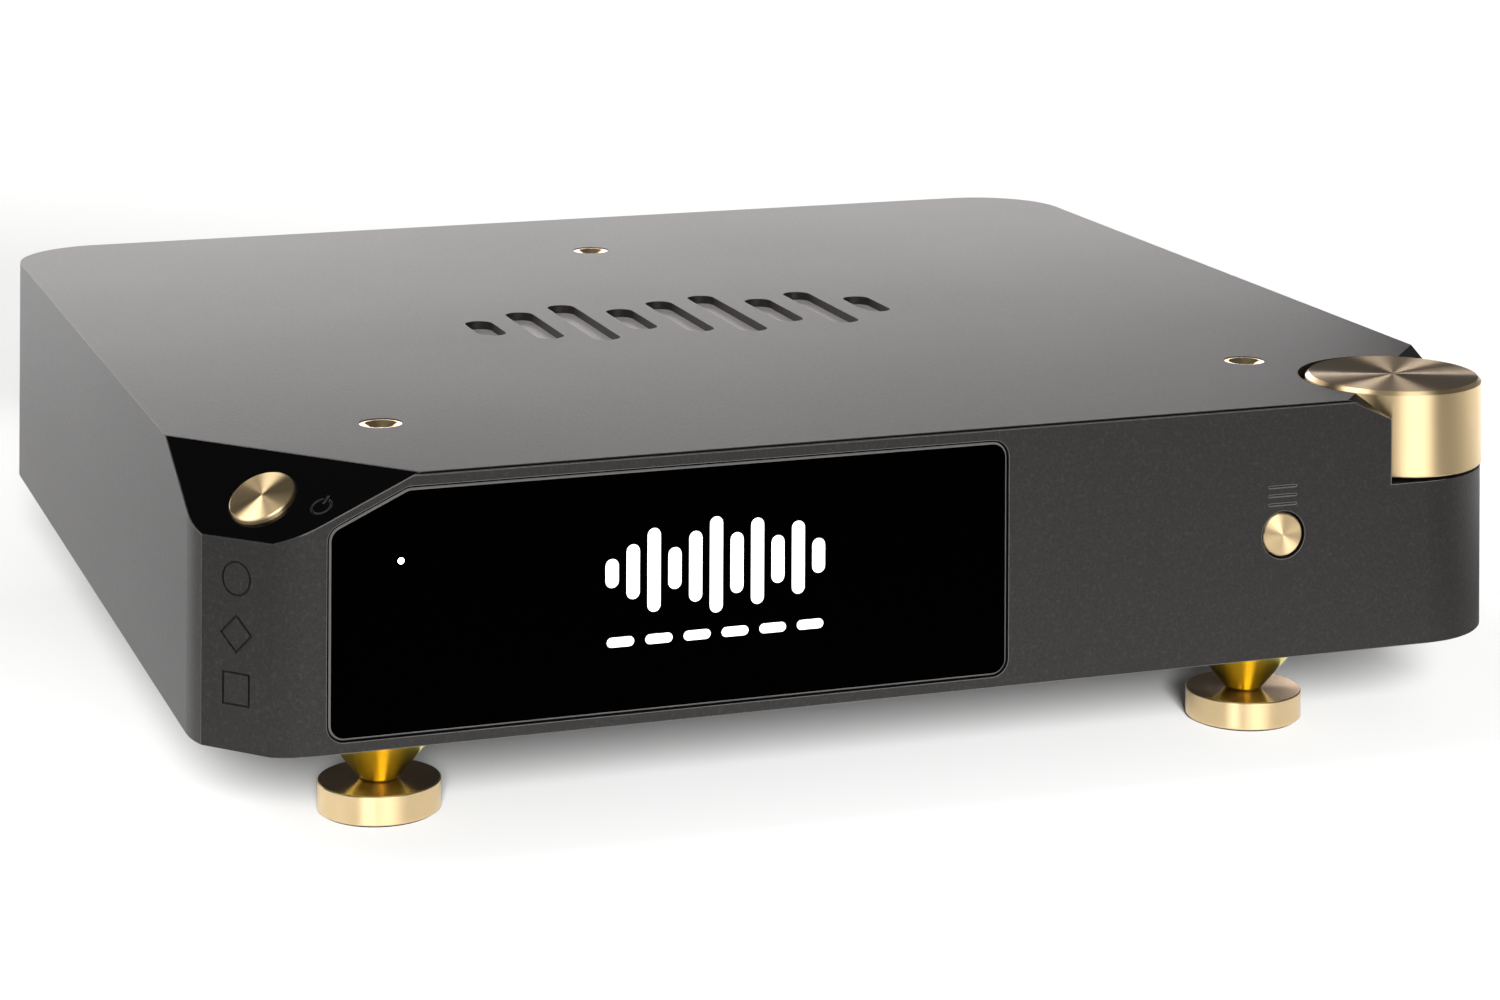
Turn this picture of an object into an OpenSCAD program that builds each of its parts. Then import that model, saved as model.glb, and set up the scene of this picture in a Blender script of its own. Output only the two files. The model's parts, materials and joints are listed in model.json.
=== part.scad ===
// Desktop digital-to-analogue converter: milled aluminium case on three spiked feet.
// Z = 0 is the surface the feet stand on, the front face looks along -Y, X = 0 is the middle.
// Under in_case(), y counts from the front face and z from the underside of the case.

/* [Case] */
// Width of the case
case_w = 321; // [318:1:326]
// Depth of the case, front face to rear face
case_d = 299; // [296:1:304]
// Height of the case without its feet
case_h = 60; // [60:1:62]
// Height of the underside of the case above the table
foot_h = 29; // [28:1:32]
// Radius of the vertical corners
corner_r = 25; // [24.5:0.5:25.5]
// Wall thickness of the milled shell at the sides
wall = 5; // [4.5:0.5:5]
// Thickness of the lid of the milled shell
lid_t = 5; // [4.5:0.5:5]
// Thickness of the front plate
front_t = 8; // [8:0.5:9]

/* [Corner facets] */
// How far a corner facet reaches along the front edge
facet_x = 46.7; // [46:0.1:48]
// How far a corner facet reaches back along the side edge
facet_y = 52.3; // [51:0.1:53]
// How far the facet plane would drop at the square corner
facet_z = 21.65; // [21:0.05:22]
// Depth of the gloss control plate let into the left facet
plate_t = 1.2; // [0.8:0.1:1.2]

/* [Recess in the lid] */
// Depth of the milled waveform in the lid
recess_depth = 2.2; // [1:0.1:2.6]
// Number of bars in the waveform
recess_bars = 9; // [7:2:9]
// Width of one bar
recess_bar_w = 7.4; // [5:0.1:8]

/* [Volume knob] */
// Radius of the volume knob
knob_r = 21.4; // [20.5:0.1:21.6]
// Height of the knob body
knob_h = 20.6; // [20:0.1:21]
// Chamfer at the knob's upper rim
knob_chamfer = 0.9; // [0.4:0.1:1.4]
// Radius of the pocket around the knob
pocket_r = 23.9; // [23.5:0.1:24.5]

/* [Buttons] */
// Diameter of the power button
power_d = 15; // [13:0.5:15]
// How far the power button stands proud of its facet
power_proud = 1.2; // [0.9:0.1:1.3]
// Diameter of the menu button
menu_d = 10.2; // [9:0.2:10.2]
// Travel of both push buttons
button_travel = 0.6; // [0.4:0.1:0.6]

/* [Display] */
// Width of the display glass
glass_w = 159.6; // [150:0.2:160]
// Height of the display glass
glass_h = 53.7; // [50:0.1:54]
// Gap around the display glass
glass_gap = 0.45; // [0.2:0.05:0.6]

/* [Feet] */
// Diameter of the foot discs
disc_d = 28.7; // [26:0.1:32]
// Thickness of a foot disc
disc_t = 6.7; // [5.5:0.1:6.8]

/* [Fasteners] */
// Head diameter of the lid screws
head_d = 10; // [9.5:0.1:10.4]

/* [Hidden] */

// Case and knob
half_w = case_w/2;
rear_inner_y = case_d - 8; // inner face of the rear wall
inner_d = rear_inner_y - front_t;
return_y = 16.3; // how far the front plate's returns reach back at the sides
ledge_z = case_h - 21.1; // floor of the knob pocket
pocket_at = [half_w - 22.4, 20.4, ledge_z];
knob_at = [half_w - 23.1, 20.5, ledge_z];
knob_lift = 1.1; // knob's underside above the ledge
rca_tip_y = case_d + 9.5;
// half way between the knob's front and the tips of the sockets
centre_y = (knob_at[1] - knob_r + rca_tip_y)/2;

// Screws. Tables of base places hold [x, y], tables of wall places hold [x, z].
pilot_r = 1.25; // threaded hole
head_r = head_d/2;
lid_screws = [[-111, 48.5], [111, 48.5], [0, 246]]; // the feet sit under them
base_screws = [[-151.5, 85], [-151.5, 190], [151.5, 85], [151.5, 190], [-56.6, 286], [57.5, 286]];
flange_screws = [for (x = [-125, -60, 20, 80, 130]) [x, 3.9]];
bracket_screws = [[-140, 13], [36, 13], [36, 46]];
rear_side_screws = [for (x = [-127, 127], z = [12, 44]) [x, z]];
rear_top_screws = [for (x = [-110, -60, 0, 60, 110]) [x, 54.5]];
menu_x = 96.7;
menu_z = 29.1;
menu_screws = [[85, menu_z], [108, menu_z]];
switch_screws = [for (s = [-1, 1]) [-4.9, 10.4*s]]; // in the left facet's frame

// Base plate, boards and transformers
base_z = 1;
base_t = 3;
base_top = base_z + base_t;
board_z = 10.1;
board_t = 1.6;
board_top = board_z + board_t;
part_z = board_top + 0.05; // underside of the separate parts on the boards
supply_stands = [[-140, 138], [-72, 138], [-140, 262], [-72, 262]];
input_stands = [[-54, 226], [-14, 226], [-54, 276], [-14, 276]];
converter_stands = [[16, 138], [142, 138], [16, 268], [142, 264]];
stands = concat(supply_stands, input_stands, converter_stands);
toroid_at = [[-55, 82], [50, 82]];

// Rear panel and sockets, y from the rear face
panel_w = 260;
panel_t = 3;
flange_y = -0.38; // seat of the sockets' flanges
inlet_x = -85;
inlet_z = 29;
rocker_at = [-109, -4.6, inlet_z];
rca_at = [[-20, 39.4], [46, 17.5], [46, 40.5]];
xlr_x = [12, 76, 107]; // the input, then the two outputs
xlr_out_x = [xlr_x[1], xlr_x[2]];
xlr_z = 29;
xlr_body_r = 11.9;

// Display
glass_x = -134.2; // left edge
glass_z = 2.8; // lower edge
pipe_x = -118.2;
pipe_z = 40.8;
ir_x = -122;

// Feet
disc_z = 0.5; // underside of the discs
disc_r = disc_d/2;

// Colours used by several pieces
brass = [0.86, 0.72, 0.46];
steel = [0.7, 0.7, 0.7];
zinc = [0.6, 0.6, 0.6];
black = [0.1, 0.1, 0.1];
socket_grey = [0.16, 0.16, 0.17];
board_green = [0.04, 0.22, 0.10];
switch_green = [0.05, 0.25, 0.12];

function unit(v) = v/norm(v);
function angle_of(v) = atan2(v[1], v[0]);
function arc(r, from, to, n) = [
  for (k = [0:n]) let (a = from + (to - from)*k/n) r*[cos(a), sin(a)]
];

// Left facet's plane. Points p are [x, y] from the case's left side and front face.
facet_normal = unit([-1/facet_x, -1/facet_y, 1/facet_z]);
facet_tilt = acos(facet_normal[2]);
facet_turn = angle_of(facet_normal);
function on_facet(p) =
  [p[0] - half_w, p[1], case_h - facet_z*(1 - p[0]/facet_x - p[1]/facet_y)];
facet_origin = on_facet([15.25, 16.8]); // centre of the power button
facet_u = [cos(facet_tilt)*cos(facet_turn), cos(facet_tilt)*sin(facet_turn), -sin(facet_tilt)];
facet_v = [-sin(facet_turn), cos(facet_turn), 0];
function to_facet(p) = let (d = on_facet(p) - facet_origin) [facet_u*d, facet_v*d];

// Vertical flat at the left front corner
flat_x = 16.46; // where it meets the sides of the square corner
flat_y = 17.97;
flat_slope = [1/flat_x, 1/flat_y];
flat_normal = unit(flat_slope);
// distance from the centre of the corner's arc
flat_dist = (corner_r/flat_x + corner_r/flat_y - 1)/norm(flat_slope);
flat_mid = [corner_r, corner_r] - flat_dist*flat_normal;

// Convex polygon with its corners rounded to radius r in n steps
function rounded(points, r, n = 8) = let (m = len(points)) [
  for (i = [0:m-1])
    let (
      corner = points[i],
      back = unit(points[(i-1+m)%m] - corner),
      ahead = unit(points[(i+1)%m] - corner),
      half = acos(back*ahead)/2,
      centre = corner + unit(back + ahead)*(r/sin(half)),
      from = angle_of(corner + back*(r/tan(half)) - centre),
      to = angle_of(corner + ahead*(r/tan(half)) - centre),
      sweep = ((to - from + 540) % 360) - 180
    )
    for (p = arc(r, from, from + sweep, n)) centre + p
];

// ---- Frames ----
module on_table() { translate([0, -centre_y, 0]) children(); }
module in_case() { on_table() translate([0, 0, foot_h]) children(); }
// y from the rear face
module from_rear() { in_case() translate([0, case_d, 0]) children(); }
// origin at the power button's centre, z along the left facet's outward normal
module facet_frame() {
  translate(facet_origin) rotate([0, facet_tilt, facet_turn]) children();
}
module in_facet() { in_case() facet_frame() children(); }
// origin at the middle of the corner flat, -y outwards
module corner_flat() {
  translate([flat_mid[0] - half_w, flat_mid[1], 0])
    rotate([0, 0, angle_of(flat_normal) - 90]) children();
}
module on_ledge() { in_case() translate(knob_at) children(); }
module in_knob() { on_ledge() translate([0, 0, knob_lift]) children(); }
// z along the knob's grub screw
module across_knob() { rotate([0, 0, 150]) translate([0, 0, 7.5]) rotate([0, 90, 0]) children(); }
module at(points, z = 0) { for (p = points) translate([p[0], p[1], z]) children(); }

// ---- Basic shapes ----
// 2D shape in x and z, standing on the plane y and reaching towards the front
module upright(y, depth) { translate([0, y, 0]) rotate([90, 0, 0]) linear_extrude(depth) children(); }
module box(corner, size) { translate(corner) cube(size); }
// box centred on x and y, standing on z
module block(x, y, z, size) { box([x - size[0]/2, y - size[1]/2, z], size); }
module post(z, r, h, fn = 48) { translate([0, 0, z]) cylinder(r = r, h = h, $fn = fn); }
// rods along Y
module rod(x, y, z, r, length, fn = 48) {
  translate([x, y, z]) rotate([-90, 0, 0]) cylinder(r = r, h = length, $fn = fn);
}
module rods(points, y, r, length, fn = 24) { for (p = points) rod(p[0], y, p[1], r, length, fn); }
// rod along X
module cross_rod(start, r, length, fn) {
  translate(start) rotate([0, 90, 0]) cylinder(r = r, h = length, $fn = fn);
}
module ring(outer_r, inner_r, h, fn = 48) {
  difference() {
    cylinder(r = outer_r, h = h, $fn = fn);
    post(-1, inner_r, h + 2, fn);
  }
}
module hexrod(flats, h) { cylinder(r = flats/sqrt(3), h = h, $fn = 6); }
// slot along y with round ends; straight is the length between their centres
module slot_2d(width, straight, fn = 24) {
  square([width, straight], center = true);
  for (s = [-1, 1]) translate([0, s*straight/2]) circle(r = width/2, $fn = fn);
}
// socket screw with its head below z = 0 and its thread upwards
module pan_screw(length, r = 1.2, head_h = 1.7, head_r = 2.7) {
  difference() {
    union() {
      cylinder(r = r, h = length, $fn = 24);
      post(-head_h, head_r, head_h, 32);
    }
    translate([0, 0, -head_h-1]) hexrod(2, 2);
  }
}
// screws pointing to the front
module wall_screws(points, y, length, head_h = 1.7, head_r = 2.7) {
  for (p = points) translate([p[0], y, p[1]]) rotate([90, 0, 0])
    pan_screw(length, head_h = head_h, head_r = head_r);
}

// ---- Case ----
// plan of the case, set in
module plan(inset) {
  translate([-half_w+corner_r, inset]) square([case_w-2*corner_r, case_d-2*inset]);
  translate([-half_w+inset, corner_r]) square([case_w-2*inset, case_d-2*corner_r]);
  for (x = [-half_w+corner_r, half_w-corner_r], y = [corner_r, case_d-corner_r])
    translate([x, y]) circle(r = corner_r-inset, $fn = 120);
}
// everything above a plane parallel to the left facet
module over_facet(z, h = 50) { facet_frame() box([-60, -60, z], [120, 120, h]); }
module outer() {
  difference() {
    linear_extrude(case_h) plan(0);
    corner_flat() box([-20, -30, -1], [40, 30, case_h+2]);
    over_facet(0, 40);
    mirror([1, 0, 0]) over_facet(0, 40);
  }
}
// hollow of the case
module cavity() {
  difference() {
    intersection() {
      translate([0, 0, -1]) linear_extrude(case_h+1-lid_t) plan(wall);
      box([-half_w, front_t, -1], [case_w, inner_d, case_h]);
    }
    over_facet(-6);
    translate(pocket_at) post(-5, pocket_r+3, 40, 96);
  }
}
module inner_prism(inset) {
  intersection() {
    translate([0, 0, -2]) linear_extrude(case_h+4) plan(inset);
    box([-half_w, front_t, -3], [case_w, inner_d, case_h+6]);
  }
}
// space of the front plate and its two side returns, with a gap at its rear faces
module front_space(gap) {
  return_d = return_y + 5 - gap;
  box([-half_w-1, -5, -1], [case_w+2, front_t+5-gap, case_h+2]);
  difference() {
    union() {
      box([-half_w-1, -5, -1.5], [24, return_d, case_h-5]);
      box([half_w-25, -5, -1.5], [26, return_d, ledge_z+1.5-gap]);
    }
    inner_prism(wall-gap);
  }
}
module front_region() {
  intersection() {
    front_space(0.1);
    union() {
      // mitre along the upper front edge
      translate([-half_w-2, 0, case_h-0.45]) rotate([-45, 0, 0])
        box([0, -40, -120], [case_w+4, 200, 120]);
      // the return round the left corner keeps its full height under the facet
      box([-half_w-2, front_t-0.5, -2], [26, 12, case_h-4.6]);
    }
  }
}
module knob_pocket() { translate(pocket_at) cylinder(r = pocket_r, h = 40, $fn = 120); }
// outline of the gloss plate, from the front edge round the corner flat to the side edge
function plate_outline(inset) =
  let (
    r = corner_r - inset,
    middle = angle_of(flat_normal) - 180,
    half = acos((flat_dist - inset)/r),
    arcs = concat(arc(r, -90, middle + half, 5), arc(r, middle - half, -180, 5))
  )
  concat(
    [[facet_x - 2.2*inset, inset]],
    [for (p = arcs) [corner_r, corner_r] + p],
    [[inset, facet_y - 2.2*inset]]
  );
module plate_2d(inset) { polygon([for (p = plate_outline(inset)) to_facet(p)]); }
module plate_well() {
  facet_frame() translate([0, 0, -plate_t]) linear_extrude(20) plate_2d(0.15);
}
module power_hole(z) { post(z, power_d/2+0.25, 20, 64); }
// waveform in the lid
bar_lengths = [20, 36, 48, 28, 42, 50, 32, 44, 22];
bar_pitch = 13.3;
module recess() {
  for (i = [0:recess_bars-1])
    translate([(i-(recess_bars-1)/2)*bar_pitch-6, 146, case_h-recess_depth])
      linear_extrude(10) slot_2d(recess_bar_w, bar_lengths[i]-recess_bar_w, 48);
}
module lid_front_strip() {
  intersection() {
    outer();
    box([-half_w, -1, case_h-lid_t], [case_w, front_t+1.5, lid_t+1]);
    translate([-half_w-2, 0, case_h]) rotate([-45, 0, 0]) box([0, -20, 0], [case_w+4, 60, 30]);
  }
}
module top_shell() {
  color([0.30, 0.29, 0.29]) in_case() difference() {
    union() {
      difference() {
        outer();
        front_space(0);
        cavity();
      }
      lid_front_strip();
      // solid columns for the base screws, and stops for the switch board
      at(base_screws) post(4.2, 4.4, case_h-lid_t-4, 32);
      facet_frame() at(switch_screws) post(-12.2, 2.4, 6.4, 32);
    }
    knob_pocket();
    plate_well();
    facet_frame() power_hole(-20);
    facet_frame() at(switch_screws) post(-12.3, pilot_r, 5.5, 24);
    recess();
    // countersunk holes for the lid screws
    at(lid_screws, case_h) {
      post(-20, 2.75, 30);
      translate([0, 0, -2.7]) cylinder(r1 = 2.75, r2 = head_r+0.1, h = 2.35, $fn = 64);
      post(-0.35, head_r+0.1, 2, 64);
    }
    // encoder bush through the pocket floor
    translate(knob_at) post(-10, 3.6, 20);
    // rebate and window for the rear panel
    box([-panel_w/2-0.2, case_d-3.5, -1], [panel_w+0.4, 10, case_h+1-2.8]);
    box([-123, rear_inner_y-0.5, -1], [246, 20, case_h-8]);
    at(base_screws) cylinder(r = pilot_r, h = 18, $fn = 24);
    rods(rear_side_screws, case_d-9, pilot_r, 10);
    rods(rear_top_screws, case_d-7.9, pilot_r, 8);
  }
}

// outline of the display glass, grown on all sides; its upper left corner is cut off
module glass_2d(grow) {
  left = glass_x - grow;
  right = glass_x + glass_w + grow;
  low = glass_z - grow;
  top = glass_z + glass_h;
  polygon(rounded([[left, low], [right, low], [right, top+grow],
    [glass_x+17.6-grow*0.35, top+grow], [left, top-8.2+grow*0.6]], 3.6+grow));
}
// three short bars above the menu button
module bars_2d() {
  for (i = [0:2]) translate([96.5, 40.6-2.1*i]) rotate(90) slot_2d(0.55, 6.9);
}
// outline motif on the corner flat: a square, a lozenge and a circle
module square_ring(size, line) {
  difference() {
    square(size, center = true);
    square(size-2*line, center = true);
  }
}
module motif() {
  line = 0.55;
  translate([0, -12]) square_ring(7.4, line);
  rotate(45) square_ring(6.2, line);
  translate([0, 12]) difference() {
    circle(r = 3.9, $fn = 64);
    circle(r = 3.9-line, $fn = 64);
  }
}
module front_panel() {
  color([0.22, 0.21, 0.21]) in_case() difference() {
    union() {
      intersection() {
        outer();
        front_region();
      }
      rods(menu_screws, front_t-1, 2.6, 7.6, 32);
    }
    rods(menu_screws, front_t+0.8, pilot_r, 10);
    // small bevel along the upper front edge
    translate([-half_w-2, 0, case_h-0.85]) rotate([45, 0, 0]) box([0, -2, 0], [case_w+4, 4, 3]);
    knob_pocket();
    plate_well();
    // display well and window
    upright(2.6, 5) glass_2d(glass_gap);
    box([-128, 0, 7], [148, 20, 40]);
    // menu button hole
    rod(menu_x, -1, menu_z, menu_d/2+0.6, 20, 64);
    rod(menu_x, front_t-1.5, menu_z, menu_d/2+1.8, 20, 64);
    upright(0.3, 2) bars_2d();
    corner_flat() upright(0.35, 3) translate([0, 25.5]) motif();
    // blind threads
    rods(flange_screws, front_t-4, pilot_r, 10);
    rods(bracket_screws, front_t-4, pilot_r, 10);
  }
}
module power_icon() {
  difference() {
    circle(r = 2.45, $fn = 48);
    circle(r = 2.0, $fn = 48);
    translate([1.2, -0.85]) square([3, 1.7]);
  }
  translate([0.9, -0.24]) square([2.3, 0.48]);
}
module control_plate() {
  color([0.02, 0.02, 0.02]) in_facet() difference() {
    translate([0, 0, -plate_t+0.05]) linear_extrude(plate_t-0.05) plate_2d(0.25);
    power_hole(-10);
    at([to_facet([25.8, 5.7])], -0.25) rotate(180) linear_extrude(2) power_icon();
  }
}
module bottom_plate() {
  gap = 0.25;
  color([0.25, 0.25, 0.25]) in_case() difference() {
    union() {
      intersection() {
        translate([0, 0, base_z]) linear_extrude(base_t) plan(wall+gap);
        box([-half_w, front_t+gap, 0], [case_w, inner_d-2*gap, 10]);
      }
      box([-122.6, rear_inner_y-20, base_z], [245.2, 24.3, base_t]);
      // flange that the front plate is screwed to
      box([-134, front_t+gap, base_z], [270, 1.6, 5.4]);
    }
    rods(flange_screws, 0, 1.4, 20);
    rods(flange_screws, front_t+1.85, 2.3, 3.4, 32);
    at(base_screws) cylinder(r = 1.7, h = 10, $fn = 24);
    at(lid_screws) cylinder(r = 2.7, h = 10, $fn = 32);
    at(stands) cylinder(r = 1.6, h = 10, $fn = 24);
    at(toroid_at) cylinder(r = 3.2, h = 10, $fn = 32);
    // ventilation slots, none in the middle
    for (x = [-100:10:100])
      if (abs(x) > 9) translate([x, 157, 0]) linear_extrude(10) slot_2d(3, 22);
  }
}
module rear_panel() {
  color([0.20, 0.20, 0.20]) from_rear() difference() {
    box([-panel_w/2, -3.4, 4.1], [panel_w, panel_t, case_h-7.1]);
    box([-117, -9, 16.5], [54, 20, 25]); // power inlet
    block(-44, 0, 11.2, [12.6, 20, 11.8]); // USB
    block(-20, 0, 14.7, [15.4, 20, 6]); // I2S
    block(-44, 0, 34.2, [10.4, 20, 10.4]); // optical
    rods(rca_at, -9, 5.1, 20, 48);
    for (x = xlr_x) {
      rod(x, -9, xlr_z, 12, 20, 64);
      rods(xlr_screws(x), -9, 1.7, 20);
    }
    rods(concat(rear_side_screws, rear_top_screws), -9, 1.7, 20);
  }
}

// ---- Fasteners of the case ----
module pillars() {
  color([0.7, 0.7, 0.72]) in_case() at(lid_screws) difference() {
    post(4.1, 6, case_h-lid_t-4.2);
    cylinder(r = 2.5, h = case_h, $fn = 48);
  }
}
module top_screws() {
  color([0.85, 0.68, 0.38]) in_case() at(lid_screws, case_h) difference() {
    union() {
      post(-22, 2.45, 20);
      translate([0, 0, -2.75]) cylinder(r1 = 2.6, r2 = head_r, h = 2.3, $fn = 64);
      post(-0.45, head_r, 0.25, 64);
    }
    translate([0, 0, -2.6]) hexrod(3.2, 5);
    translate([0, 0, -1.4]) cylinder(r1 = 1.9, r2 = 4.2, h = 1.3, $fn = 64); // dished head
  }
}
module bottom_screws() { color(black) in_case() at(base_screws, 0.95) pan_screw(14, head_h = 0.9); }
module rear_screws() {
  color(black) from_rear() {
    wall_screws(rear_side_screws, -0.35, 8);
    wall_screws(rear_top_screws, -0.35, 7);
  }
}
module front_screws() {
  color(black) in_case() {
    wall_screws(flange_screws, front_t+1.9, 5.4, head_h = 1.2, head_r = 2.1);
    wall_screws(bracket_screws, front_t+1.2, 4.7, head_h = 1.2, head_r = 2.1);
  }
}

// ---- Feet, profiles as [radius, z above the table] ----
module foot_spikes() {
  tip_z = disc_t + disc_z - 0.6;
  cone_z = tip_z + (disc_r-4.1)/0.855;
  color([0.80, 0.62, 0.25]) on_table() at(lid_screws) rotate_extrude($fn = 96) polygon([
    [0, tip_z], [3.7, tip_z], [disc_r-0.4, cone_z], [disc_r-0.4, foot_h-0.6],
    [disc_r-0.8, foot_h-0.2], [disc_r-2, foot_h-0.2], [disc_r-2, foot_h+0.97],
    [2.45, foot_h+0.97], [2.45, foot_h+22], [1.9, foot_h+22.6], [0, foot_h+22.6]]);
}
module foot_discs() {
  top = disc_z + disc_t;
  color([0.86, 0.70, 0.40]) on_table() at(lid_screws) rotate_extrude($fn = 120) polygon([
    [0, disc_z], [disc_r-0.3, disc_z], [disc_r, 0.8], [disc_r, top-0.25],
    [disc_r-0.25, top], [4.6, top], [3.9, top-0.65], [0, top-0.65]]);
}
module foot_pads() {
  color([0.05, 0.05, 0.05]) on_table() at(lid_screws) cylinder(r = disc_r-1, h = 0.48, $fn = 96);
}

// ---- Display ----
module display_glass() {
  color([0.01, 0.01, 0.01]) in_case() difference() {
    // bevelled rim
    hull() {
      upright(2.1, 1.55) glass_2d(0);
      upright(2.1, 2.0) glass_2d(-0.45);
    }
    rod(pipe_x, -1, pipe_z, 0.75, 10, 24);
  }
}
module light_pipe() { color([1, 1, 1]) in_case() rod(pipe_x, 0.12, pipe_z, 0.7, 7.5, 24); }
module display_gasket() {
  color([0.08, 0.08, 0.08]) in_case() difference() {
    upright(2.55, 0.4) glass_2d(-0.6);
    box([-127.5, 0, 7.5], [147, 20, 39]);
  }
}
module pipe_clearance() { rod(pipe_x, 0, pipe_z, 0.9, 20, 24); }
// the screen, and the board behind it
module display_module() {
  color([0.05, 0.2, 0.1]) in_case() {
    difference() {
      box([-127, 2.2, 8], [146, 6.2, 38]);
      pipe_clearance();
      block(ir_x, 5, 18, [6, 8, 8]);
    }
    difference() {
      box([-131, 8.6, 6.5], [154, 1.6, 42]);
      pipe_clearance();
      block(ir_x, 5, 18, [6, 14, 8]);
    }
  }
}
module ir_receiver() {
  color([0.05, 0.02, 0.04]) in_case() {
    block(ir_x, 5, 19, [5, 5, 6]);
    rod(ir_x, 2.3, 22, 1.8, 1, 32);
    for (i = [-1, 0, 1]) block(ir_x+1.5*i, 9, 21, [0.5, 3.4, 0.5]);
  }
}
module display_bracket() {
  tab_y = 8.1;
  color([0.6, 0.6, 0.62]) in_case() difference() {
    union() {
      box([-134, 10.3, 7], [160, 1, 43]);
      // left tab and its step
      box([-146, tab_y, 7], [13, 1, 12]);
      box([-134, tab_y, 7], [1, 3.2, 12]);
      // right tab and its step
      box([25, tab_y, 7], [16, 1, 43]);
      box([25, tab_y, 7], [1, 3.2, 43]);
    }
    box([-126, 9, 14], [140, 10, 28]);
    rods(bracket_screws, 5, 1.4, 10);
    // room for the facet and the power switch
    over_facet(-6.4);
    facet_frame() post(-30, 16, 30, 32);
  }
}

// ---- Buttons, profiles as [radius, height] ----
module power_button() {
  r = power_d/2;
  color(brass) in_facet() rotate_extrude($fn = 96) polygon([
    [0, -8.2], [2, -8.2], [2, -7.3], [r+0.8, -7.3], [r+0.8, -6.3], [r, -6.3],
    [r, power_proud-0.3], [r-0.3, power_proud], [0, power_proud]]);
}
module power_switch() {
  color(black) in_facet() {
    block(0, 0, -12.6, [6.2, 6.2, 3.1]);
    post(-9.6, 1.7, 0.6, 32);
  }
}
module power_switch_board() {
  color(switch_green) in_facet() difference() {
    box([-8.2, -13.2, -14.3], [12.7, 26.4, 1.6]);
    at(switch_screws) post(-20, 1.5, 10, 24);
  }
}
module button_board_screws() {
  color(zinc) in_case() {
    facet_frame() at(switch_screws, -14.35) pan_screw(5.5, head_h = 1.4, head_r = 2.2);
    wall_screws(menu_screws, 16.35, 5.5, head_h = 1.4, head_r = 2.2);
  }
}
module menu_button() {
  r = menu_d/2;
  color(brass) in_case() translate([menu_x, 0.3, menu_z]) rotate([-90, 0, 0])
    rotate_extrude($fn = 72) polygon([
      [0, 0], [r-0.3, 0], [r, 0.3], [r, 6.6], [r+1.5, 6.6],
      [r+1.5, 7.6], [1.8, 7.6], [1.8, 9.9], [0, 9.9]]);
}
module menu_switch() {
  color(black) in_case() {
    block(menu_x, 13.1, menu_z-3.1, [6.2, 3, 6.2]);
    rod(menu_x, 10.9, menu_z, 1.7, 0.8, 32);
  }
}
module menu_switch_board() {
  color(switch_green) in_case() difference() {
    box([82, 14.7, 18], [29, 1.6, 22]);
    rods(menu_screws, 10, 1.5, 10);
  }
}

// ---- Volume knob ----
module volume_knob() {
  skirt_r = knob_r - 4;
  color(brass) in_knob() difference() {
    rotate_extrude($fn = 160) polygon([
      [0, knob_h], [knob_r-knob_chamfer, knob_h], [knob_r, knob_h-knob_chamfer],
      [knob_r, 0.3], [knob_r-0.3, 0], [skirt_r, 0], [skirt_r, 12],
      [8, 12], [8, 3], [3.05, 3], [3.05, 15], [0, 15]]);
    across_knob() cylinder(r = 1.5, h = 30, $fn = 32);
  }
}
module knob_set_screw() {
  color(black) in_knob() across_knob() translate([0, 0, 3.05]) difference() {
    cylinder(r = 1.45, h = 4.6, $fn = 32);
    translate([0, 0, 2.6]) hexrod(1.5, 4);
  }
}
module encoder_shaft() { color(steel) on_ledge() post(-8.6, 3, knob_lift+14.8+8.6); }
module encoder_body() {
  color([0.3, 0.3, 0.32]) on_ledge() difference() {
    union() {
      box([-7, -7, -12.2], [14, 13, 7.1]);
      post(-5.2, 3.5, 8.2);
      for (i = [-1, 0, 1]) box([2.5*i-0.4, -4, -15.5], [0.8, 0.4, 3.4]);
    }
    post(-9, 3.05, 20);
  }
}
module encoder_nut() {
  color(steel) on_ledge() translate([0, 0, 0.02]) difference() {
    hexrod(9.5, 2);
    post(-1, 3.52, 5);
  }
}

// ---- Rear sockets ----
// opening for the mains plug, its upper corners cut off
module inlet_2d() {
  translate([inlet_x, inlet_z]) polygon([
    [-12.2, -8.3], [12.2, -8.3], [12.2, 5.3], [9.2, 8.3], [-9.2, 8.3], [-12.2, 5.3]]);
}
module power_inlet() {
  color([0.05, 0.05, 0.05]) from_rear() difference() {
    union() {
      box([-119, -0.4, 13.5], [58, 2.4, 31]);
      box([-116.8, -26, 16.7], [53.6, 26, 24.6]);
    }
    upright(5, 22) inlet_2d();
    box([-115.2, -20, 18.2], [12.4, 30, 21.6]); // rocker
    box([-70.6, -24, 18.6], [6.1, 40, 20.8]); // fuse drawer
    cross_rod(rocker_at - [7.2, 0, 0], 1.55, 14.4, 32);
  }
}
module inlet_blades() {
  color([0.8, 0.8, 0.8]) from_rear() {
    for (s = [-1, 1]) block(inlet_x+7*s, -15, 24.5, [2, 24, 4]);
    block(inlet_x, -15, 29.5, [2, 24, 4]);
  }
}
module rocker_switch() {
  color([0.03, 0.03, 0.03]) from_rear() translate(rocker_at) rotate([0, 90, 0]) union() {
    translate([0, 0, -5.7]) rotate([0, 0, 8]) linear_extrude(11.4) polygon([
      [-8, -4], [8, -4], [9.3, 5.2], [8.4, 6.6], [0, 4.6], [-8.4, 6.6], [-9.3, 5.2]]);
    post(-7.1, 1.5, 14.2, 32); // pivot pins
  }
}
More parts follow.
